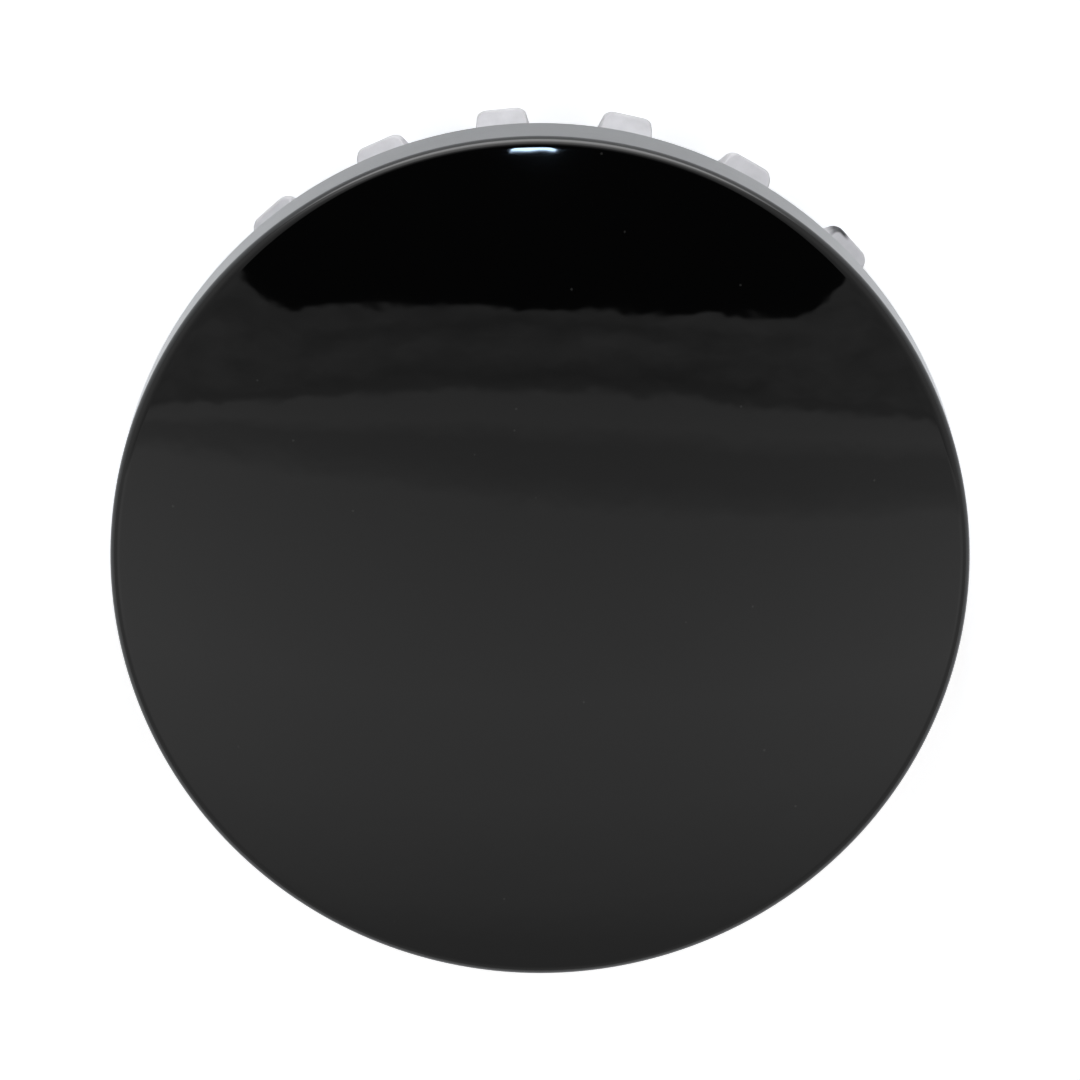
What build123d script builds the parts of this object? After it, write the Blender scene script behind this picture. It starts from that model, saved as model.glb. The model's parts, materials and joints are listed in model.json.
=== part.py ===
from build123d import *

import os
from math import sqrt

os.makedirs("parts", exist_ok=True)

# Wheel centre cap, moulded in one piece, in millimetres. Its axis is +Z and its face is up.
# The origin is on the axis, in the plane of the rim's rear edge, which seats on the wheel.

# Locating collar, which centres the cap in the wheel's bore and sets the size of the cap
COLLAR_DIAMETER = 56.0
COLLAR_HEIGHT = 2.0
COLLAR_WALL = 1.0
COLLAR_CHAMFER = 0.25

# Domed face and deep rim
RIM_OVERHANG = 2.0  # how far the rim reaches past the collar, which makes the face 60 across
RIM_HEIGHT = 5.65  # straight height of the rim's side, up to its rounded front edge
FACE_WALL = 2.4
DOME_RADIUS = 120.0
FRONT_EDGE_RADIUS = 1.0
REAR_EDGE_CHAMFER = 0.3
HOLLOW_SHOULDER = 1.0  # slope between the hollow's wall and its roof

# Snap fingers, which spring inwards as their barbs pass the bore
FINGER_COUNT = 20
FINGER_WIDTH = 3.9
FINGER_RELIEF = 0.5  # how far a finger's outside stands in from the collar's
FINGER_ROOT_WALL = 1.8
FINGER_TIP_WALL = 1.4
SLOT_CORNER_CHAMFER = 0.4
GRIP_LENGTH = 10.3  # from the seat to where the barbs begin
BARB_HEIGHT = 1.5
BARB_RISE_LENGTH = 1.3
BARB_CREST_LENGTH = 0.8
BARB_CREST_WIDTH = 3.35
BARB_CORNER_RADIUS = 0.6
LEAD_IN_LENGTH = 2.8
TIP_INSET = 0.3  # how far the tip's outer corner stands in from the finger's outside
TIP_EDGE_CHAMFER = 0.25

# Stub of the moulding gate, in the middle of the hollow side
GATE_DIAMETER = 5.0
GATE_HEIGHT = 0.6

collar_radius = COLLAR_DIAMETER / 2
hollow_radius = collar_radius - COLLAR_WALL
face_radius = collar_radius + RIM_OVERHANG

# The dome's centre is where the rounded front edge runs smoothly into both dome and rim
edge_centre_radius = face_radius - FRONT_EDGE_RADIUS
dome_centre = RIM_HEIGHT - sqrt((DOME_RADIUS - FRONT_EDGE_RADIUS) ** 2 - edge_centre_radius**2)
crown_top = dome_centre + DOME_RADIUS
dome_edge_radius = edge_centre_radius * DOME_RADIUS / (DOME_RADIUS - FRONT_EDGE_RADIUS)
dome_edge_height = dome_centre + sqrt(DOME_RADIUS**2 - dome_edge_radius**2)

# The hollow's roof follows the dome at the wall's thickness
roof_radius = DOME_RADIUS - FACE_WALL
roof_top = dome_centre + roof_radius
roof_edge_height = dome_centre + sqrt(roof_radius**2 - hollow_radius**2)

# Places along a finger
finger_outside = collar_radius - FINGER_RELIEF
finger_root_inside = finger_outside - FINGER_ROOT_WALL
finger_tip_inside = finger_outside - FINGER_TIP_WALL
finger_top = roof_edge_height + FACE_WALL / 2
crest_radius = finger_outside + BARB_HEIGHT
crest_front = -GRIP_LENGTH - BARB_RISE_LENGTH
crest_back = crest_front - BARB_CREST_LENGTH
finger_end = crest_back - LEAD_IN_LENGTH

# One snap finger on +X: its side profile, trimmed to its outline as seen along the axis
with BuildPart() as finger:
    with BuildSketch(Plane.XZ) as finger_profile:
        with BuildLine():
            Polyline(
                (finger_root_inside, finger_top),
                (finger_outside, finger_top),
                (finger_outside, -GRIP_LENGTH),
                (crest_radius, crest_front),
                (crest_radius, crest_back),
                (finger_outside - TIP_INSET, finger_end),
                (finger_tip_inside, finger_end),
                close=True,
            )
        make_face()
        chamfer(finger_profile.vertices().group_by(Axis.Y)[0], length=TIP_EDGE_CHAMFER)
    extrude(amount=FINGER_WIDTH / 2, both=True)
    with BuildSketch(Plane.XY.offset(finger_end)) as finger_outline:
        with BuildLine():
            Polyline(
                (finger_root_inside, -FINGER_WIDTH / 2),
                (finger_outside, -FINGER_WIDTH / 2),
                (crest_radius, -BARB_CREST_WIDTH / 2),
                (crest_radius, BARB_CREST_WIDTH / 2),
                (finger_outside, FINGER_WIDTH / 2),
                (finger_root_inside, FINGER_WIDTH / 2),
                close=True,
            )
        make_face()
        fillet(finger_outline.vertices().group_by(Axis.X)[-1], radius=BARB_CORNER_RADIUS)
    extrude(amount=finger_top - finger_end, mode=Mode.INTERSECT)

# Space inside the cap, open at the back. Spheres here lie on their sides, poles on X, so that no
# pole comes in the middle of the face.
with BuildPart() as hollow:
    with BuildSketch(Plane.XZ):
        with BuildLine():
            Polyline(
                (0, -COLLAR_HEIGHT),
                (hollow_radius, -COLLAR_HEIGHT),
                (hollow_radius, roof_edge_height - HOLLOW_SHOULDER),
                (hollow_radius - HOLLOW_SHOULDER, roof_edge_height),
                (hollow_radius - HOLLOW_SHOULDER, crown_top),
                (0, crown_top),
                close=True,
            )
        make_face()
    revolve(axis=Axis.Z)
    with Locations((0, 0, dome_centre)):
        Sphere(roof_radius, rotation=(0, 90, 0), mode=Mode.INTERSECT)

with BuildPart() as centre_cap:
    # Middle of the face: a disc trimmed by the dome
    with BuildSketch():
        Circle(dome_edge_radius)
    extrude(amount=crown_top)
    with Locations((0, 0, dome_centre)):
        Sphere(DOME_RADIUS, rotation=(0, 90, 0), mode=Mode.INTERSECT)

    # Outer rim with its rounded front edge, turned about the axis
    with BuildSketch(Plane.XZ):
        with BuildLine():
            RadiusArc(
                (dome_edge_radius, dome_edge_height),
                (face_radius, RIM_HEIGHT),
                FRONT_EDGE_RADIUS,
            )
            Polyline(
                (face_radius, RIM_HEIGHT),
                (face_radius, 0),
                (dome_edge_radius, 0),
                (dome_edge_radius, dome_edge_height),
            )
        make_face()
    revolve(axis=Axis.Z)
    chamfer(centre_cap.edges().group_by(Axis.Z)[0], length=REAR_EDGE_CHAMFER)

    # Collar, and the hollow through it
    with BuildSketch():
        Circle(collar_radius)
    extrude(amount=-COLLAR_HEIGHT)
    chamfer(centre_cap.edges().group_by(Axis.Z)[0], length=COLLAR_CHAMFER)
    add(hollow.part, mode=Mode.SUBTRACT)

    # Gate stub, sunk into the face's wall so that the two fuse
    with BuildSketch(Plane.XY.offset(roof_top - GATE_HEIGHT)):
        Circle(GATE_DIAMETER / 2)
    extrude(amount=GATE_HEIGHT + FACE_WALL / 2)

    # Ring of fingers
    with PolarLocations(0, FINGER_COUNT):
        add(finger.part)

    # Eased corners at the bottoms of the slots between the fingers: the collar's end is the
    # lowest flat face above the fingers' tips, and its shortest edges follow the fingers' sides
    collar_end = centre_cap.faces().filter_by(Axis.Z).group_by(Axis.Z)[1]
    slot_corners = collar_end.edges().filter_by(GeomType.LINE).group_by(SortBy.LENGTH)[0]
    chamfer(slot_corners, length=SLOT_CORNER_CHAMFER)

centre_cap.part.label = "centre_cap"
export_step(centre_cap.part, "parts/centre_cap.step")
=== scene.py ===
# %% [markdown]
# # A wheel centre cap in gloss black
#
# The cap is one plastic moulding: a domed face, a deep rim, and a ring of springy fingers behind it
# that snap into the middle of a wheel. The face and rim are lacquered black, and the fingers are
# bare plastic. This lesson loads the engineer's solid as a fixed frame, sets the camera, rebuilds
# the moulding as two clean meshes in the same place, and gives each its finish and light.

# %% Load the frame
import json
import math

import bpy
from mathutils import Matrix, Vector


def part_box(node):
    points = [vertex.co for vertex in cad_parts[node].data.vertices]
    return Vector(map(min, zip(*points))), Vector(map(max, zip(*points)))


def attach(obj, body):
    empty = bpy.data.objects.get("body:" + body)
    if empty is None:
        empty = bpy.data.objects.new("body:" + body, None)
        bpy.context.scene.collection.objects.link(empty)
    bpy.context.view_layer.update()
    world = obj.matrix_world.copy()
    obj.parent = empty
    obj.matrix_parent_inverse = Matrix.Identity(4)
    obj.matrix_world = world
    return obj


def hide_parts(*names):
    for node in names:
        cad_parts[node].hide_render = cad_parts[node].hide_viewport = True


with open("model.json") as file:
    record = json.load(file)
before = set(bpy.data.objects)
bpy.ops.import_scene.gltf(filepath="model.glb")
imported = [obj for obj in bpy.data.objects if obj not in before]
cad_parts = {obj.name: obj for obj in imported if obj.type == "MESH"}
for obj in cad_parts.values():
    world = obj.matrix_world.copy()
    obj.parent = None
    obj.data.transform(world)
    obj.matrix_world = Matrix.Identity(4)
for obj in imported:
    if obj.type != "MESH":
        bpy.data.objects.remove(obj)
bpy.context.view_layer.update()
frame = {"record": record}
MM = 0.001  # Blender works in metres
DEGREE = math.pi / 180

low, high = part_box("centre_cap")

# %% [markdown]
# ## Camera
#
# The picture is taken from nearly above, through a long lens, so that the far and near edges of the
# face are almost the same size. The camera leans a little over one side of the cap, and that side is
# at the top of the picture, where the rim's wall and six fingers show past the face. A camera can be
# turned with three angles, but here its three axes are worked out and set as one matrix, because
# they then say plainly which way is right, up and back.

# %% Place the camera
RIM_HEIGHT = 5.65 * MM  # straight wall of the rim, from the seat to the rounded edge
CAMERA_DISTANCE = 471 * MM  # from the middle of the rim's front circle
CAMERA_LEAN = 13.15 * DEGREE  # off the cap's axis
CAMERA_TURN = -5.73 * DEGREE  # of the picture's right-hand side, about the cap's axis
FRAME_RAISE = 1.40 * MM  # how far the middle of the picture lies above that circle's middle
LENS = 224.9  # focal length in mm, as a camera takes it
SENSOR_WIDTH = 36  # in mm too
CLIP_START = 10 * MM

right = Vector((math.cos(CAMERA_TURN), math.sin(CAMERA_TURN), 0))
toward = Vector((-right.y, right.x, 0))  # level, towards the side that the camera leans over
back = toward * math.sin(CAMERA_LEAN) + Vector((0, 0, math.cos(CAMERA_LEAN)))
up = back.cross(right)
rim_middle = Vector((0, 0, RIM_HEIGHT))
camera_place = rim_middle + back * CAMERA_DISTANCE
back = (camera_place - rim_middle - up * FRAME_RAISE).normalized()
up = back.cross(right)

camera_data = bpy.data.cameras.new("camera")
camera_data.lens = LENS
camera_data.sensor_width = SENSOR_WIDTH
camera_data.clip_start = CLIP_START
camera = bpy.data.objects.new("camera", camera_data)
bpy.context.scene.collection.objects.link(camera)
camera_turn = Matrix((right, up, back)).transposed().to_4x4()
camera.matrix_world = Matrix.Translation(camera_place) @ camera_turn
bpy.context.scene.camera = camera
print("camera at", [round(v / MM, 1) for v in camera_place], "mm")

# %% [markdown]
# ## Shell
#
# The face, rim, collar and hollow of the cap are all round, so one section turned about the axis
# gives them. By hand, one vertex is extruded from point to point along the section, and Spin turns
# it. The straight stretches need only their ends, and the round ones are worked out as arcs. A Screw
# modifier would do as well, but Spin leaves a plain mesh at once, ready for its edges to be rounded.

# %% Sizes of the shell
collar = next(m for m in frame["record"]["mounts"] if m["name"] == "collar")
collar_radius = collar["dims"]["r_mm"] * MM
face_radius = high.x
tip_height = low.z

COLLAR_HEIGHT = 2.0 * MM
COLLAR_WALL = 1.0 * MM
COLLAR_CHAMFER = 0.25 * MM
FACE_WALL = 2.4 * MM
DOME_RADIUS = 120 * MM
FRONT_EDGE_RADIUS = 1.0 * MM
REAR_EDGE_CHAMFER = 0.3 * MM
HOLLOW_SHOULDER = 1.0 * MM
GATE_RADIUS = 2.5 * MM
GATE_HEIGHT = 0.6 * MM

hollow_radius = collar_radius - COLLAR_WALL
edge_centre_radius = face_radius - FRONT_EDGE_RADIUS
dome_centre = RIM_HEIGHT - math.sqrt((DOME_RADIUS - FRONT_EDGE_RADIUS) ** 2 - edge_centre_radius**2)
dome_edge_angle = math.asin(edge_centre_radius / (DOME_RADIUS - FRONT_EDGE_RADIUS))
roof_radius = DOME_RADIUS - FACE_WALL
roof_edge_height = dome_centre + math.sqrt(roof_radius**2 - hollow_radius**2)
shoulder_radius = hollow_radius - HOLLOW_SHOULDER
print("crown at", round((dome_centre + DOME_RADIUS) / MM, 3), "mm, solid at", round(high.z / MM, 3))


# %% Helpers that draw
SOFT_EDGE_STEPS = 3


def arc(centre_r, centre_z, radius, start, end, steps):
    """Points (r, z) on an arc. Angles are from the axis, towards the rim."""
    angles = [start + (end - start) * i / steps for i in range(steps + 1)]
    return [(centre_r + radius * math.sin(a), centre_z + radius * math.cos(a)) for a in angles]


def trace(name, points):
    """Start a mesh with a line of edges through points (r, z), by extruding one vertex."""
    bpy.ops.object.select_all(action="DESELECT")
    bpy.ops.mesh.primitive_plane_add(size=MM, enter_editmode=True)
    bpy.context.object.name = name
    bpy.context.object.data.name = name
    bpy.ops.mesh.merge(type="CENTER")
    bpy.ops.transform.translate(value=(points[0][0], 0, points[0][1]))
    for here, there in zip(points, points[1:]):
        step = (there[0] - here[0], 0, there[1] - here[1])
        bpy.ops.mesh.extrude_vertices_move(TRANSFORM_OT_translate={"value": step})
    return bpy.context.object


def soften(piece, width, angle):
    """Round the edges sharper than angle, shade the rest smooth, and keep flat faces flat."""
    bevel = piece.modifiers.new("soft edges", "BEVEL")
    bevel.width = width
    bevel.segments = SOFT_EDGE_STEPS
    bevel.limit_method = "ANGLE"
    bevel.angle_limit = angle
    bpy.ops.object.modifier_apply(modifier=bevel.name)
    bpy.ops.object.shade_smooth_by_angle(angle=angle)
    weighted = piece.modifiers.new("flat faces stay flat", "WEIGHTED_NORMAL")
    weighted.keep_sharp = True
    bpy.ops.object.modifier_apply(modifier=weighted.name)


# %% Draw the section
DOME_STEPS = 48
EDGE_STEPS = 12
ROOF_STEPS = 24

section = arc(0, dome_centre, DOME_RADIUS, 0, dome_edge_angle, DOME_STEPS)
section += arc(
    edge_centre_radius, RIM_HEIGHT, FRONT_EDGE_RADIUS, dome_edge_angle, math.pi / 2, EDGE_STEPS
)[1:]
section += [
    (face_radius, REAR_EDGE_CHAMFER),
    (face_radius - REAR_EDGE_CHAMFER, 0),
    (collar_radius, 0),
    (collar_radius, COLLAR_CHAMFER - COLLAR_HEIGHT),
    (collar_radius - COLLAR_CHAMFER, -COLLAR_HEIGHT),
    (hollow_radius, -COLLAR_HEIGHT),
    (hollow_radius, roof_edge_height - HOLLOW_SHOULDER),
    (shoulder_radius, roof_edge_height),
]
roof_start = math.asin(shoulder_radius / roof_radius)
roof_end = math.asin(GATE_RADIUS / roof_radius)
section += arc(0, dome_centre, roof_radius, roof_start, roof_end, ROOF_STEPS)
gate_end = dome_centre + roof_radius - GATE_HEIGHT
section += [(GATE_RADIUS, gate_end), (0, gate_end)]
shell = trace("cap_shell", section)
print("section of", len(section), "points")

# %% Spin the shell
SPIN_STEPS = 256
SHELL_SOFT_EDGE = 0.08 * MM
SHELL_SHARP_FROM = 25 * DEGREE  # an edge with less turn than this belongs to a curve
MERGE = 0.001 * MM  # vertices closer than this become one

bpy.ops.mesh.select_all(action="SELECT")
bpy.ops.mesh.spin(steps=SPIN_STEPS, angle=2 * math.pi, center=(0, 0, 0), axis=(0, 0, 1))
bpy.ops.mesh.select_all(action="SELECT")
bpy.ops.mesh.remove_doubles(threshold=MERGE)
bpy.ops.mesh.normals_make_consistent(inside=False)
bpy.ops.object.mode_set(mode="OBJECT")
soften(shell, SHELL_SOFT_EDGE, SHELL_SHARP_FROM)
print("shell:", len(shell.data.polygons), "faces")

# %% [markdown]
# ## Snap fingers
#
# Each finger is a flat spring with a barb near its end: a steep face that catches behind the lip of
# the wheel's bore, a narrow crest, and a long slope that leads it in. One finger is modelled on +X
# from its side view, given its width, narrowed towards the crest, and its corners rounded. The rest
# are copies turned about the axis. Real fingers come out of the mould and through use a little bent,
# so five of those on the camera's side stand outwards and to one side by up to 0.6 mm.

# %% Draw a finger from the side
FINGER_RELIEF = 0.5 * MM
FINGER_ROOT_WALL = 1.8 * MM
FINGER_TIP_WALL = 1.4 * MM
GRIP_LENGTH = 10.3 * MM
BARB_HEIGHT = 1.5 * MM
BARB_RISE_LENGTH = 1.3 * MM
BARB_CREST_LENGTH = 0.8 * MM
TIP_INSET = 0.3 * MM

finger_outside = collar_radius - FINGER_RELIEF
finger_top = roof_edge_height + FACE_WALL / 2
crest_radius = finger_outside + BARB_HEIGHT
crest_front = -GRIP_LENGTH - BARB_RISE_LENGTH
crest_back = crest_front - BARB_CREST_LENGTH

side_view = [
    (finger_outside - FINGER_ROOT_WALL, finger_top),
    (finger_outside, finger_top),
    (finger_outside, -GRIP_LENGTH),
    (crest_radius, crest_front),
    (crest_radius, crest_back),
    (finger_outside - TIP_INSET, tip_height),
    (finger_outside - FINGER_TIP_WALL, tip_height),
]
first_finger = trace("snap_fingers", side_view)
print("finger", round((finger_top - tip_height) / MM, 2), "mm long")


# %% Give it width and a rounded barb
FINGER_WIDTH = 3.9 * MM
BARB_CREST_WIDTH = 3.35 * MM
BARB_CORNER_RADIUS = 0.6 * MM
BARB_CORNER_STEPS = 6
TINY = 0.01 * MM  # slack when vertices are picked by their place


def select_verts(piece, test):
    """In edit mode, select the vertices whose place passes test, and nothing else."""
    bpy.ops.mesh.select_all(action="DESELECT")
    bpy.ops.object.mode_set(mode="OBJECT")
    for vertex in piece.data.vertices:
        vertex.select = test(vertex.co)
    bpy.ops.object.mode_set(mode="EDIT")


bpy.ops.mesh.select_all(action="SELECT")
bpy.ops.mesh.edge_face_add()
bpy.ops.transform.translate(value=(0, -FINGER_WIDTH / 2, 0))
bpy.ops.mesh.extrude_region_move(TRANSFORM_OT_translate={"value": (0, FINGER_WIDTH, 0)})
bpy.ops.mesh.select_all(action="SELECT")
bpy.ops.mesh.normals_make_consistent(inside=False)
bpy.ops.mesh.select_mode(type="VERT")
select_verts(first_finger, lambda co: co.x > finger_outside + TINY)
bpy.ops.transform.resize(value=(1, BARB_CREST_WIDTH / FINGER_WIDTH, 1))
for side in (-1, 1):
    select_verts(first_finger, lambda co: co.x > crest_radius - TINY and co.y * side > TINY)
    bpy.ops.mesh.bevel(offset=BARB_CORNER_RADIUS, segments=BARB_CORNER_STEPS, affect="EDGES")
print("finger:", round(FINGER_WIDTH / MM, 2), "mm wide")


# %% Flare its root into the collar
SLOT_CORNER = 0.4 * MM
FINGER_SOFT_EDGE = 0.14 * MM
FINGER_SHARP_FROM = 28 * DEGREE


def cut(axis, distance):
    """In edit mode, add a ring of edges to the whole mesh at a distance along an axis."""
    bpy.ops.mesh.select_all(action="SELECT")
    point = [distance * along for along in axis]
    bpy.ops.mesh.bisect(plane_co=point, plane_no=axis, threshold=MERGE)


cut((0, 0, 1), -COLLAR_HEIGHT)
cut((0, 0, 1), -COLLAR_HEIGHT - SLOT_CORNER)
cut((1, 0, 0), hollow_radius)
select_verts(first_finger, lambda co: co.x > hollow_radius - TINY and co.z > -COLLAR_HEIGHT - TINY)
bpy.ops.transform.resize(value=(1, 1 + 2 * SLOT_CORNER / FINGER_WIDTH, 1))
bpy.ops.object.mode_set(mode="OBJECT")
soften(first_finger, FINGER_SOFT_EDGE, FINGER_SHARP_FROM)
print("finger:", len(first_finger.data.polygons), "faces")

# %% Copy the ring of fingers
FINGER_COUNT = 20
FINGER_PITCH = 2 * math.pi / FINGER_COUNT
# How far a finger's end stands outwards and clockwise of its true place, in mm. Fingers are counted
# anticlockwise from +X, as seen from the face.
LEANS = {2: (0.60, 0.50), 3: (0.33, 0.45), 4: (0.18, 0.18), 5: (0.04, 0.08), 7: (0.14, -0.10)}

fingers = [first_finger]
for number in range(1, FINGER_COUNT):
    bpy.ops.object.select_all(action="DESELECT")
    first_finger.select_set(True)
    bpy.context.view_layer.objects.active = first_finger
    bpy.ops.object.duplicate(linked=False)
    copy = bpy.context.object
    outwards, clockwise = LEANS.get(number, (0, 0))
    bpy.ops.object.mode_set(mode="EDIT")
    select_verts(copy, lambda co: co.z < -GRIP_LENGTH / 2)
    bpy.ops.transform.translate(value=(outwards * MM, -clockwise * MM, 0))
    bpy.ops.object.mode_set(mode="OBJECT")
    copy.rotation_euler.z = number * FINGER_PITCH
    bpy.ops.object.transform_apply(location=False, rotation=True, scale=False)
    fingers.append(copy)
bpy.ops.object.select_all(action="DESELECT")
for finger in fingers:
    finger.select_set(True)
bpy.context.view_layer.objects.active = first_finger
bpy.ops.object.join()
print("fingers:", len(first_finger.data.polygons), "faces in", FINGER_COUNT, "fingers")


# %% [markdown]
# ## Finishes
#
# Two materials make the cap, each built from nodes. Colours are written as they look on a screen and
# turned to linear light by one function, one small function adds a node with its settings and links,
# and the size of every pattern is a real size in millimetres on the cap.

# %% Helpers for materials
def linear(hex_colour):
    """A colour such as "#d1d1d5", as the linear values that shaders use, by the sRGB curve."""
    channels = [int(hex_colour[i : i + 2], 16) / 255 for i in (1, 3, 5)]
    return [c / 12.92 if c <= 0.04045 else ((c + 0.055) / 1.055) ** 2.4 for c in channels] + [1]


def add_node(tree, kind, inputs=None, **settings):
    """Add a node, set its properties, and set or link its inputs."""
    node = tree.nodes.new("ShaderNode" + kind)
    for name, value in settings.items():
        setattr(node, name, value)
    for socket, value in (inputs or {}).items():
        if isinstance(value, bpy.types.NodeSocket):
            tree.links.new(value, node.inputs[socket])
        else:
            node.inputs[socket].default_value = value
    return node


def new_material(name):
    """A node material, with its tree and its shader."""
    material = bpy.data.materials.new(name)
    material.use_nodes = True
    tree = material.node_tree
    print("material", name)
    return material, tree, tree.nodes["Principled BSDF"]


# %% [markdown]
# ### Gloss black lacquer
#
# The face and rim are sprayed with black lacquer and left to flow out. A sprayed coat never settles
# quite flat: it keeps long, very low waves called orange peel, which make the edge of a reflection
# tremble. A displaced mesh would need millions of faces for waves a few thousandths of a millimetre
# high, so they are bump. Handling leaves a haze that makes some patches a little less sharp, and a
# few specks of dust settle on the face.

# %% Spray the lacquer
PEEL_WAVE = 4.0 * MM
PEEL_HEIGHT = 0.012 * MM
LACQUER_IOR = 1.5

# Sprayed lacquer: black with almost no colour of its own, and a reflection nearly as sharp as glass
lacquer, tree, shader = new_material("gloss_black_lacquer")
shader.inputs["IOR"].default_value = LACQUER_IOR
spot = add_node(tree, "TexCoord").outputs["Object"]

peel = add_node(tree, "TexNoise", {"Vector": spot, "Scale": 1 / PEEL_WAVE, "Detail": 2.0})
waves = add_node(tree, "Bump", {"Height": peel.outputs["Fac"], "Distance": PEEL_HEIGHT})
tree.links.new(waves.outputs["Normal"], shader.inputs["Normal"])
print("orange peel in waves of", round(PEEL_WAVE / MM, 1), "mm")

# %% Dust and haze on it
SPECK_SPACING = 2.6 * MM
SPECK_RADIUS = 0.11 * MM
SPECK_COVER = 0.05  # how much of the black a speck hides
HAZE_PATCH = 9.0 * MM
CLEAN_ROUGHNESS = 0.02
HAZED_ROUGHNESS = 0.04
NOISE_LOW = 0.3  # noise seldom leaves this range, so it is stretched from here
NOISE_HIGH = 0.7  # to here

specks = add_node(tree, "TexVoronoi", {"Vector": spot, "Scale": 1 / SPECK_SPACING})
dust = add_node(
    tree,
    "MapRange",
    {
        "Value": specks.outputs["Distance"],
        "From Min": SPECK_RADIUS / SPECK_SPACING,
        "From Max": 0.5 * SPECK_RADIUS / SPECK_SPACING,
        "To Max": SPECK_COVER,
    },
).outputs["Result"]
colour = add_node(
    tree,
    "Mix",
    {"Factor": dust, "A": linear("#040404"), "B": linear("#b4b2ac")},
    data_type="RGBA",
)
tree.links.new(colour.outputs["Result"], shader.inputs["Base Color"])

haze = add_node(tree, "TexNoise", {"Vector": spot, "Scale": 1 / HAZE_PATCH, "Detail": 3.0})
haze_roughness = add_node(
    tree,
    "MapRange",
    {
        "Value": haze.outputs["Fac"],
        "From Min": NOISE_LOW,
        "From Max": NOISE_HIGH,
        "To Min": CLEAN_ROUGHNESS,
        "To Max": HAZED_ROUGHNESS,
    },
)
tree.links.new(haze_roughness.outputs["Result"], shader.inputs["Roughness"])
print("haze in patches of", round(HAZE_PATCH / MM, 1), "mm")

# %% [markdown]
# ### Bare ABS
#
# The fingers and the hollow side are the plastic as it left the mould: a pale plain grey with a soft
# shine, a fine spark-eroded grain from the steel, and faint cloudy marks where the melt flowed. Spray
# that drifted round the rim has left black speckle on the outer part of the rear face, and one finger
# is coloured darker in a band along the outline round one corner of its barb. Both are masks worked
# out from the place on the cap, so they stay put from every side.

# %% Mould the ABS
GRAIN = 0.16 * MM  # nearer 0.05 mm on a real cap, and drawn coarser so that it shows
GRAIN_HEIGHT = 0.004 * MM
FLOW_MARK = 1.3 * MM
ABS_IOR = 1.53
SHINY_ROUGHNESS = 0.40  # in the darker clouds
MATT_ROUGHNESS = 0.52  # and in the paler ones

# Moulded ABS: an opaque pale grey whose fine grain spreads the shine into a soft glow
abs_plastic, tree, shader = new_material("bare_abs")
shader.inputs["IOR"].default_value = ABS_IOR
spot = add_node(tree, "TexCoord").outputs["Object"]

grain = add_node(tree, "TexNoise", {"Vector": spot, "Scale": 1 / GRAIN, "Detail": 1.0})
grain_bump = add_node(tree, "Bump", {"Height": grain.outputs["Fac"], "Distance": GRAIN_HEIGHT})
tree.links.new(grain_bump.outputs["Normal"], shader.inputs["Normal"])

flow = add_node(tree, "TexNoise", {"Vector": spot, "Scale": 1 / FLOW_MARK, "Detail": 3.0})
cloud = add_node(
    tree, "MapRange", {"Value": flow.outputs["Fac"], "From Min": NOISE_LOW, "From Max": NOISE_HIGH}
).outputs["Result"]
plastic = add_node(
    tree,
    "Mix",
    {"Factor": cloud, "A": linear("#bebcbe"), "B": linear("#cbc9cb")},
    data_type="RGBA",
).outputs["Result"]
shine = add_node(
    tree, "MapRange", {"Value": cloud, "To Min": SHINY_ROUGHNESS, "To Max": MATT_ROUGHNESS}
)
tree.links.new(shine.outputs["Result"], shader.inputs["Roughness"])
print("grain of", round(GRAIN / MM, 2), "mm, flow marks of", round(FLOW_MARK / MM, 1), "mm")

# %% Overspray behind the rim
OVERSPRAY_DROP = 0.25 * MM
OVERSPRAY_FROM = 28.4 * MM  # radius where the speckle starts
OVERSPRAY_DEPTH = 1.2 * MM  # how far behind the seat it fades out
DROP_EDGE = 0.16  # reach times noise where a drop begins
DROP_BODY = 0.30  # and where it is all black

# The place on the cap without its height, and how far that is from the axis
flat_spot = add_node(tree, "VectorMath", {0: spot, 1: (1, 1, 0)}, operation="MULTIPLY")
radius = add_node(tree, "VectorMath", {0: flat_spot.outputs["Vector"]}, operation="LENGTH")
outward = add_node(
    tree,
    "MapRange",
    {"Value": radius.outputs["Value"], "From Min": OVERSPRAY_FROM, "From Max": face_radius},
)
height = add_node(tree, "SeparateXYZ", {0: spot}).outputs["Z"]
upward = add_node(tree, "MapRange", {"Value": height, "From Min": -OVERSPRAY_DEPTH, "From Max": 0.0})
reach = add_node(
    tree,
    "Math",
    {0: outward.outputs["Result"], 1: upward.outputs["Result"]},
    operation="MULTIPLY",
)
drops = add_node(tree, "TexNoise", {"Vector": spot, "Scale": 1 / OVERSPRAY_DROP, "Detail": 2.0})
sprayed = add_node(
    tree, "Math", {0: reach.outputs[0], 1: drops.outputs["Fac"]}, operation="MULTIPLY"
)
speckle = add_node(
    tree, "MapRange", {"Value": sprayed.outputs[0], "From Min": DROP_EDGE, "From Max": DROP_BODY}
).outputs["Result"]
print("overspray from radius", round(OVERSPRAY_FROM / MM, 1), "mm")

# %% Outline of the dark-banded barb
DARK_BANDED_FINGER = 2
DARK_BAND_WIDTH = 0.25 * MM  # of the band, which follows the barb's outline round one corner

outwards, clockwise = LEANS[DARK_BANDED_FINGER]
barb_corner = Vector((crest_radius + outwards * MM, BARB_CREST_WIDTH / 2 - clockwise * MM, 0))
round_middle = barb_corner - Vector((BARB_CORNER_RADIUS, BARB_CORNER_RADIUS, 0))
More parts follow.
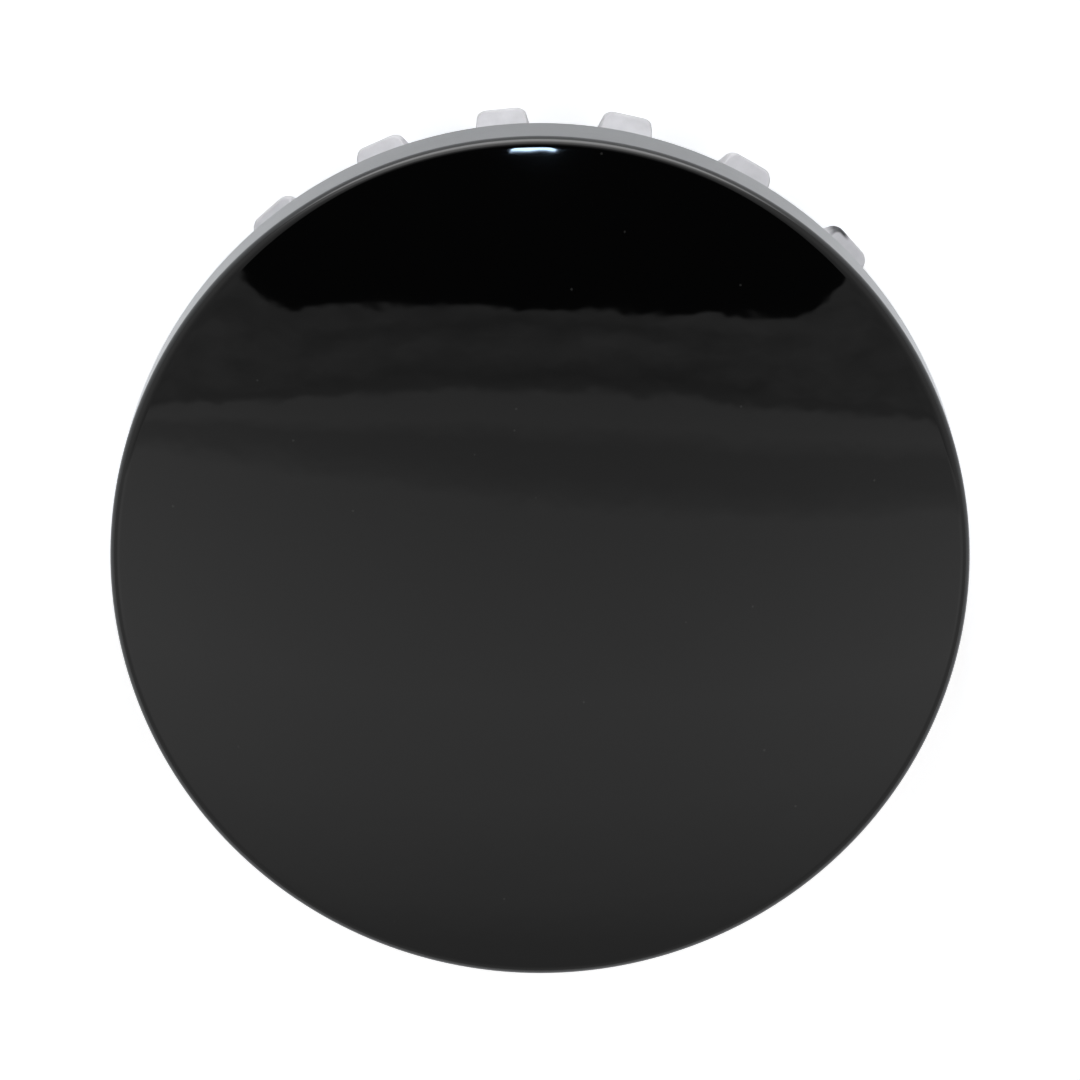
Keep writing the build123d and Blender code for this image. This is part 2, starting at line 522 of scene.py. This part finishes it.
# The place as it would be on the finger at +X, which makes the outline's two sides straight
on_finger = add_node(
    tree,
    "VectorRotate",
    {"Vector": flat_spot.outputs["Vector"], "Angle": -DARK_BANDED_FINGER * FINGER_PITCH},
    rotation_type="Z_AXIS",
).outputs["Vector"]
past_middle = add_node(tree, "VectorMath", {0: on_finger, 1: round_middle}, operation="SUBTRACT")
past_middle = add_node(
    tree, "VectorMath", {0: past_middle.outputs["Vector"], 1: (0, 0, 0)}, operation="MAXIMUM"
)
out_from_middle = add_node(
    tree, "VectorMath", {0: past_middle.outputs["Vector"]}, operation="LENGTH"
)
line = add_node(
    tree,
    "MapRange",
    {
        "Value": out_from_middle.outputs["Value"],
        "From Min": BARB_CORNER_RADIUS - DARK_BAND_WIDTH,
        "From Max": BARB_CORNER_RADIUS - DARK_BAND_WIDTH / 2,
    },
)
print("rub on the corner at", [round(v / MM, 2) for v in barb_corner], "mm on its finger")

# %% Dark band along the outline
DARK_BAND_REACH = 1.0 * MM  # how far the dark band runs from its middle
DARK_BAND_SHIFT = 0.35 * MM  # of its middle from the corner, along the crest

dark_band_middle = barb_corner - Vector((0, DARK_BAND_SHIFT, 0))
away = add_node(tree, "VectorMath", {0: on_finger, 1: dark_band_middle}, operation="DISTANCE")
near_corner = add_node(
    tree,
    "MapRange",
    {"Value": away.outputs["Value"], "From Min": DARK_BAND_REACH, "From Max": DARK_BAND_REACH / 2},
)
deep = add_node(tree, "MapRange", {"Value": height, "From Min": -GRIP_LENGTH, "From Max": crest_front})
# The dark band: the plastic's colour turned dark along the outline round one corner of the barb, and
# only on the barb
dark_band = add_node(
    tree, "Math", {0: line.outputs["Result"], 1: near_corner.outputs["Result"]}, operation="MULTIPLY"
)
dark_band = add_node(tree, "Math", {0: dark_band.outputs[0], 1: deep.outputs["Result"]}, operation="MULTIPLY")
marks = add_node(tree, "Math", {0: speckle, 1: dark_band.outputs[0]}, operation="MAXIMUM")
marked = add_node(
    tree,
    "Mix",
    {"Factor": marks.outputs[0], "A": plastic, "B": linear("#1c1c20")},
    data_type="RGBA",
)
tree.links.new(marked.outputs["Result"], shader.inputs["Base Color"])
print("rub of", round(2 * DARK_BAND_REACH / MM, 1), "mm, bare_abs has", len(tree.nodes), "nodes")

# %% [markdown]
# ### Which faces are lacquered
#
# The spray reaches the face and the side of the rim. The shell therefore has both materials, and each
# face takes one of them by where it lies and which way it looks. The fingers are bare all over.

# %% Give the pieces their finishes
LACQUERED = 0  # places of the shell's two materials
BARE = 1
FRONT_RISE = 0.2  # least upward share of a front face's normal
FRONT_DEPTH = 1.0 * MM  # how far below the rounded edge a front face may lie

shell.data.materials.append(lacquer)
shell.data.materials.append(abs_plastic)
for face in shell.data.polygons:
    front = face.normal.z > FRONT_RISE and face.center.z > RIM_HEIGHT - FRONT_DEPTH
    rim_side = math.hypot(face.center.x, face.center.y) > face_radius - REAR_EDGE_CHAMFER
    face.material_index = LACQUERED if front or rim_side else BARE
first_finger.data.materials.append(abs_plastic)

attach(shell, "root")
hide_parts("centre_cap")
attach(first_finger, "root")
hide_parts("centre_cap")
print("lacquered faces:", sum(face.material_index == LACQUERED for face in shell.data.polygons))

# %% [markdown]
# ## Floor
#
# The cap lies on plain white paper. Paper under soft light renders as grey, so where the camera looks,
# the Light Path node adds just enough white to it to make open paper white. A mix with white would
# wash out the shadow too, but what is added leaves it whole. Gloss shows the paper as well, and gets
# less of that white, so that the rim still mirrors the shade around the cap.

# %% Lay the floor
FLOOR_SIZE = 4000 * MM
PAPER_ROUGHNESS = 0.9
SEEN_LIFT = 0.53  # white added to the paper as the camera sees it
MIRRORED_LIFT = 0.20  # and as gloss and glass see it

bpy.ops.object.select_all(action="DESELECT")
bpy.ops.mesh.primitive_plane_add(size=FLOOR_SIZE, location=(0, 0, tip_height))
floor = bpy.context.object
floor.name = "floor"
# Uncoated paper: white, and so matt that the eye sees light and shade on it but no shine
paper, tree, shader = new_material("white_paper")
shader.inputs["Base Color"].default_value = linear("#f2f2f2")
shader.inputs["Roughness"].default_value = PAPER_ROUGHNESS
path = add_node(tree, "LightPath")
mirrored = add_node(
    tree,
    "Math",
    {0: path.outputs["Is Glossy Ray"], 1: path.outputs["Is Transmission Ray"]},
    operation="MAXIMUM",
)
mirrored = add_node(tree, "Math", {0: mirrored.outputs[0], 1: MIRRORED_LIFT}, operation="MULTIPLY")
lift = add_node(
    tree,
    "Math",
    {0: path.outputs["Is Camera Ray"], 1: SEEN_LIFT, 2: mirrored.outputs[0]},
    operation="MULTIPLY_ADD",
)
white = add_node(tree, "Emission", {"Color": linear("#ffffff"), "Strength": lift.outputs[0]})
lifted = add_node(tree, "AddShader", {0: shader.outputs[0], 1: white.outputs[0]})
tree.links.new(lifted.outputs[0], tree.nodes["Material Output"].inputs["Surface"])
floor.data.materials.append(paper)
print("floor at", round(tip_height / MM, 2), "mm")

# %% [markdown]
# ## Studio
#
# Gloss black has no colour to show, so what the eye sees on it is the room. Here the room is a pale
# cloth ceiling with soft folds, a dark end on the camera's side, and pale walls low all round. An
# image of a studio would give this at once, but nodes can be read and changed: they turn a direction
# into two angles, and draw the folds as bands along them.

# %% Angles in the studio
world = bpy.data.worlds.new("studio")
bpy.context.scene.world = world
world.use_nodes = True
tree = world.node_tree

direction = add_node(tree, "TexCoord").outputs["Generated"]
turned = add_node(tree, "Mapping", {"Vector": direction, "Rotation": (0, 0, -CAMERA_TURN)})
axes = add_node(tree, "SeparateXYZ", {0: turned.outputs[0]})
# Angles off straight up: pitch towards the side that the camera leans over, and yaw to its right
pitch = add_node(
    tree, "Math", {0: axes.outputs["Y"], 1: axes.outputs["Z"]}, operation="ARCTAN2"
).outputs[0]
yaw = add_node(
    tree, "Math", {0: axes.outputs["X"], 1: axes.outputs["Z"]}, operation="ARCTAN2"
).outputs[0]
yaw_squared = add_node(tree, "Math", {0: yaw, 1: yaw}, operation="MULTIPLY").outputs[0]
print("studio turned by", round(-CAMERA_TURN / DEGREE, 2), "degrees")

# %% Bend the folds of the ceiling
FOLD_ARCH = 0.237  # how the folds near the dark end curve down to both sides
FOLD_SLANT_NEAR = 0.02  # how they slant down to the right
FOLD_SLANT_FAR = 0.10  # and how the straight folds further from it do
FOLD_WAVER = 1.2 * DEGREE
WAVER_COUNT = 7.0  # bends to a radian
STRAIGHT_FROM = -1 * DEGREE  # from here to the next they lose their arch
STRAIGHT_TO = -5 * DEGREE
LEVEL_FROM = -12 * DEGREE  # from here to the next they turn level
LEVEL_TO = -28 * DEGREE

nearness = add_node(
    tree, "MapRange", {"Value": pitch, "From Min": STRAIGHT_TO, "From Max": STRAIGHT_FROM}
).outputs["Result"]
slant = add_node(
    tree,
    "MapRange",
    {"Value": nearness, "To Min": FOLD_SLANT_FAR, "To Max": FOLD_SLANT_NEAR},
).outputs["Result"]
slanting = add_node(
    tree, "MapRange", {"Value": pitch, "From Min": LEVEL_TO, "From Max": LEVEL_FROM}
).outputs["Result"]
slant = add_node(tree, "Math", {0: slant, 1: slanting}, operation="MULTIPLY").outputs[0]
bend = add_node(tree, "Math", {0: nearness, 1: FOLD_ARCH}, operation="MULTIPLY").outputs[0]
folded = add_node(
    tree, "Math", {0: yaw_squared, 1: bend, 2: pitch}, operation="MULTIPLY_ADD"
).outputs[0]
folded = add_node(
    tree, "Math", {0: yaw, 1: slant, 2: folded}, operation="MULTIPLY_ADD"
).outputs[0]
waver = add_node(tree, "TexNoise", {"Vector": direction, "Scale": WAVER_COUNT, "Detail": 2.0})
waver = add_node(tree, "Math", {0: waver.outputs["Fac"], 1: 0.5}, operation="SUBTRACT")
folded = add_node(
    tree, "Math", {0: waver.outputs[0], 1: FOLD_WAVER, 2: folded}, operation="MULTIPLY_ADD"
).outputs[0]
print("folds waver by", round(FOLD_WAVER / DEGREE, 1), "degrees")

# %% Light along the ceiling
# Pitch in degrees along the middle of the ceiling, and how bright the cloth is there
CEILING = [
    (-50, 0.36),
    (-43, 0.42),
    (-39, 0.53),
    (-31, 0.66),
    (-23, 0.72),
    (-15, 0.66),
    (-8.2, 0.60),
    (-7.0, 0.50),
    (-5.6, 0.44),
    (-3.3, 0.42),
    (-1.8, 0.52),
    (0.3, 0.49),
    (0.9, 0.29),
    (1.8, 0.24),
    (4.0, 0.35),
    (5.6, 0.26),
    (6.3, 0.32),
    (10, 0.30),
]
ceiling_from = CEILING[0][0]
ceiling_to = CEILING[-1][0]

along = add_node(
    tree,
    "MapRange",
    {"Value": folded, "From Min": ceiling_from * DEGREE, "From Max": ceiling_to * DEGREE},
)
cloth = add_node(tree, "ValToRGB", {"Fac": along.outputs["Result"]})
stops = cloth.color_ramp.elements
stops.remove(stops[1])
for number, (degrees, level) in enumerate(CEILING):
    position = (degrees - ceiling_from) / (ceiling_to - ceiling_from)
    stop = stops.new(position) if number else stops[0]
    stop.color = (level, level, level, 1)
print("ceiling in", len(CEILING), "steps of light")

# %% Fade the folds near the dark end to both sides
CREASED_FROM = 0.9 * DEGREE  # near the dark end, past the step between pale and grey cloth
FOLDS_FADE_FROM = 10 * DEGREE  # from here to the next the folds die out into one plain grey
FOLDS_FADE_TO = 20 * DEGREE
PLAIN_GREY = 0.31

creased = add_node(
    tree,
    "MapRange",
    {"Value": folded, "From Min": CREASED_FROM, "From Max": 2 * CREASED_FROM},
).outputs["Result"]
off_centre = add_node(tree, "Math", {0: yaw}, operation="ABSOLUTE").outputs[0]
fading = add_node(
    tree,
    "MapRange",
    {"Value": off_centre, "From Min": FOLDS_FADE_FROM, "From Max": FOLDS_FADE_TO},
)
fading = add_node(tree, "Math", {0: fading.outputs["Result"], 1: creased}, operation="MULTIPLY")
ceiling = add_node(
    tree,
    "Mix",
    {"Factor": fading.outputs[0], "A": cloth.outputs["Color"], "B": PLAIN_GREY},
    data_type="FLOAT",
).outputs[0]
print("folds fade out by", round(FOLDS_FADE_TO / DEGREE), "degrees off the middle")

# %% Creases in the cloth
CREASE_SIZE = 1.6 * DEGREE
CREASE_STRETCH = 3.0  # how much longer a crease is than wide
CREASE_DEPTH = 0.16
SIDE_BRIGHTENING = 0.85  # how much brighter the cloth is where it comes down at both sides

stretched = add_node(
    tree, "VectorMath", {0: turned.outputs[0], 1: (1 / CREASE_STRETCH, 1, 1)}, operation="MULTIPLY"
).outputs["Vector"]
creases = add_node(tree, "TexNoise", {"Vector": stretched, "Scale": 1 / CREASE_SIZE, "Detail": 3.0})
shade = add_node(
    tree,
    "MapRange",
    {
        "Value": creases.outputs["Fac"],
        "From Min": NOISE_LOW,
        "From Max": NOISE_HIGH,
        "To Min": 1 - CREASE_DEPTH,
        "To Max": 1 + CREASE_DEPTH,
    },
)
shade = add_node(
    tree, "Mix", {"Factor": creased, "A": 1.0, "B": shade.outputs["Result"]}, data_type="FLOAT"
).outputs[0]
ceiling = add_node(tree, "Math", {0: ceiling, 1: shade}, operation="MULTIPLY").outputs[0]
sideways = add_node(
    tree, "Math", {0: axes.outputs["X"], 1: axes.outputs["X"]}, operation="MULTIPLY"
).outputs[0]
brighter = add_node(
    tree, "Math", {0: sideways, 1: SIDE_BRIGHTENING, 2: 1.0}, operation="MULTIPLY_ADD"
).outputs[0]
ceiling = add_node(tree, "Math", {0: ceiling, 1: brighter}, operation="MULTIPLY").outputs[0]
print("creases", round(CREASE_SIZE / DEGREE, 1), "degrees across")

# %% Dark end of the room
DARK_FROM = 6.7 * DEGREE
DARK_SOFT = 0.2 * DEGREE  # half the width of its edge
DARK_LEVEL = 0.01
DARK_ARCH = 0.09  # how its edge curves down to both sides
DARK_HALF_WIDTH = 18.5 * DEGREE  # past it, the edge turns up
DARK_CORNER = 9.7  # and how fast

past_corner = add_node(tree, "Math", {0: off_centre, 1: DARK_HALF_WIDTH}, operation="SUBTRACT")
past_corner = add_node(tree, "Math", {0: past_corner.outputs[0], 1: 0.0}, operation="MAXIMUM")
corner = add_node(
    tree, "Math", {0: past_corner.outputs[0], 1: past_corner.outputs[0]}, operation="MULTIPLY"
)
beyond = add_node(
    tree, "Math", {0: yaw_squared, 1: DARK_ARCH, 2: pitch}, operation="MULTIPLY_ADD"
)
beyond = add_node(
    tree, "Math", {0: yaw, 1: FOLD_SLANT_NEAR, 2: beyond.outputs[0]}, operation="MULTIPLY_ADD"
)
beyond = add_node(
    tree, "Math", {0: corner.outputs[0], 1: -DARK_CORNER, 2: beyond.outputs[0]}, operation="MULTIPLY_ADD"
)
dark = add_node(
    tree,
    "MapRange",
    {
        "Value": beyond.outputs[0],
        "From Min": DARK_FROM - DARK_SOFT,
        "From Max": DARK_FROM + DARK_SOFT,
    },
    interpolation_type="SMOOTHSTEP",
)
ceiling = add_node(
    tree,
    "Mix",
    {"Factor": dark.outputs["Result"], "A": ceiling, "B": DARK_LEVEL},
    data_type="FLOAT",
).outputs[0]
print("dark end from", round(DARK_FROM / DEGREE, 1), "degrees")

# %% Pale walls
WALL_NEAR = 0.65  # brightness on the side that the camera leans over
WALL_FAR = 0.45  # and on the opposite side
NEAR_FROM = 0.2  # how far a direction points to the near side where the wall is at its brightest
FAR_FROM = -1.0  # and where it is at its dimmest
WALL_FROM = 0.75  # how far a direction points up where the wall begins to show
WALL_FULL = 0.35  # and where it is all wall

wall = add_node(
    tree,
    "MapRange",
    {
        "Value": axes.outputs["Y"],
        "From Min": FAR_FROM,
        "From Max": NEAR_FROM,
        "To Min": WALL_FAR,
        "To Max": WALL_NEAR,
    },
)
lowness = add_node(
    tree,
    "MapRange",
    {"Value": axes.outputs["Z"], "From Min": WALL_FROM, "From Max": WALL_FULL},
    interpolation_type="SMOOTHSTEP",
)
room = add_node(
    tree,
    "Mix",
    {"Factor": lowness.outputs["Result"], "A": ceiling, "B": wall.outputs["Result"]},
    data_type="FLOAT",
).outputs[0]
path = add_node(tree, "LightPath")
shown = add_node(
    tree, "Mix", {"Factor": path.outputs["Is Camera Ray"], "A": room, "B": 1.0}, data_type="FLOAT"
).outputs[0]
tree.links.new(shown, tree.nodes["Background"].inputs["Color"])
print("studio of", len(tree.nodes), "nodes")

# %% [markdown]
# ## Lamps
#
# Three panels light the cap from the side that the camera leans over. A low one that stands on the
# paper lights the fingers and draws the pale line along the rounded edge, a higher and dimmer one
# softens it, and a small cool one with a dim border is the bright bar at the top of the face. A lamp's
# power goes with its area, so the function takes how bright the panel looks, which is what shows in
# gloss, and works out the watts. The cloth of a softbox is brightest near its tube, and a lamp may have
# nodes for that as a material has: Parametric says where on the panel a ray meets it, as two shares of
# its sides, and the light fades from the middle of the lower side to the ends and the top. Two more
# panels stand on the other side and fill the shade on the fingers there. They would draw lines in the
# gloss that a plain room doesn't, so they are kept out of it.

# %% Helpers for lamps
NEUTRAL = (1, 1, 1)
COOL = (0.55, 0.75, 1.0)


def add_lamp(name, place, aim, width, height, brightness, colour):
    """A soft panel of light, aimed at a point."""
    lamp_data = bpy.data.lights.new(name, "AREA")
    lamp_data.shape = "RECTANGLE"
    lamp_data.size = width
    lamp_data.size_y = height
    lamp_data.energy = brightness * math.pi * width * height
    lamp_data.color = colour
    lamp = bpy.data.objects.new(name, lamp_data)
    bpy.context.scene.collection.objects.link(lamp)
    lamp_back = (place - aim).normalized()
    lamp_right = Vector((0, 0, 1)).cross(lamp_back).normalized()
    lamp_up = lamp_back.cross(lamp_right)
    turn = Matrix((lamp_right, lamp_up, lamp_back)).transposed().to_4x4()
    lamp.matrix_world = Matrix.Translation(place) @ turn
    lamp.visible_camera = False
    print(name, round(lamp_data.energy, 3), "W")
    return lamp


def fade_out(lamp, fade_from):
    """Let a panel fade from a share of the way between its lower side's middle and its edges."""
    lamp.data.use_nodes = True
    tree = lamp.data.node_tree
    meeting = add_node(tree, "NewGeometry").outputs["Parametric"]
    # Measured from the middle of the lower side, so that both ends and the top are 1 away
    off_tube = add_node(tree, "VectorMath", {0: meeting, 1: (0.5, 0, 0)}, operation="SUBTRACT")
    off_tube = add_node(
        tree, "VectorMath", {0: off_tube.outputs["Vector"], 1: (2, 1, 0)}, operation="MULTIPLY"
    )
    off_tube = add_node(tree, "VectorMath", {0: off_tube.outputs["Vector"]}, operation="LENGTH")
    glow = add_node(
        tree,
        "MapRange",
        {"Value": off_tube.outputs["Value"], "From Min": 1.0, "From Max": fade_from},
        interpolation_type="SMOOTHSTEP",
    )
    tree.links.new(glow.outputs["Result"], tree.nodes["Emission"].inputs["Strength"])


# %% Stand the softboxes on the camera's side
SOFTBOX_FADE = 0.5
LOW_DISTANCE = 110 * MM
LOW_WIDTH = 235 * MM
LOW_HEIGHT = 46 * MM
LOW_BRIGHTNESS = 4.0
HIGH_DISTANCE = 400 * MM
HIGH_LEFT = 40 * MM
HIGH_RAISE = 150 * MM
HIGH_AIM = Vector((0, 0, 30 * MM))
HIGH_WIDTH = 900 * MM
HIGH_HEIGHT = 170 * MM
HIGH_BRIGHTNESS = 1.0

low_middle = Vector((0, 0, tip_height + LOW_HEIGHT / 2))
low_place = low_middle + toward * LOW_DISTANCE
low_softbox = add_lamp(
    "low_softbox", low_place, low_middle, LOW_WIDTH, LOW_HEIGHT, LOW_BRIGHTNESS, NEUTRAL
)
fade_out(low_softbox, SOFTBOX_FADE)
high_place = toward * HIGH_DISTANCE - right * HIGH_LEFT + Vector((0, 0, HIGH_RAISE))
high_softbox = add_lamp(
    "high_softbox", high_place, HIGH_AIM, HIGH_WIDTH, HIGH_HEIGHT, HIGH_BRIGHTNESS, NEUTRAL
)
fade_out(high_softbox, SOFTBOX_FADE)

# %% Hang the bright bar
BAR_DISTANCE = 420 * MM
BAR_PITCH = 23.6 * DEGREE  # off straight up, towards the camera's side
BAR_LEFT = 4 * MM
BAR_WIDTH = 26 * MM
BAR_HEIGHT = 69 * MM
BAR_BRIGHTNESS = 40.0
BORDER_HEIGHT = 2.2 * MM  # of the dim cloth border along the bar's inner end
BORDER_BRIGHTNESS = 5.5

face_edge = toward * edge_centre_radius + Vector((0, 0, RIM_HEIGHT + FRONT_EDGE_RADIUS))
bar_back = toward * math.sin(BAR_PITCH) + Vector((0, 0, math.cos(BAR_PITCH)))
bar_place = face_edge + bar_back * BAR_DISTANCE - right * BAR_LEFT
add_lamp("bar_lamp", bar_place, face_edge, BAR_WIDTH, BAR_HEIGHT, BAR_BRIGHTNESS, COOL)
bar_inward = Vector((0, 0, math.sin(BAR_PITCH))) - toward * math.cos(BAR_PITCH)
border = bar_inward * (BAR_HEIGHT + BORDER_HEIGHT) / 2
border_place = bar_place + border
border_aim = face_edge + border
add_lamp("bar_border", border_place, border_aim, BAR_WIDTH, BORDER_HEIGHT, BORDER_BRIGHTNESS, COOL)

# %% Fill the shade on the other side
FILL_DISTANCE = 400 * MM
FILL_TURN = 135 * DEGREE  # of each panel from the softboxes, about the cap's axis
FILL_WIDTH = 500 * MM
FILL_HEIGHT = 100 * MM
FILL_BRIGHTNESS = 3.6

fill_aim = Vector((0, 0, tip_height + FILL_HEIGHT / 2))
for name, flank in (("left_fill", -right), ("right_fill", right)):
    fill_way = toward * math.cos(FILL_TURN) + flank * math.sin(FILL_TURN)
    fill_place = fill_aim + fill_way * FILL_DISTANCE
    fill = add_lamp(name, fill_place, fill_aim, FILL_WIDTH, FILL_HEIGHT, FILL_BRIGHTNESS, NEUTRAL)
    fill.visible_glossy = False

# %% [markdown]
# ## Colours as written
#
# The view transform is set to Standard, so that colours come out as they are written.

# %% Set the view transform
bpy.context.scene.view_settings.view_transform = "Standard"
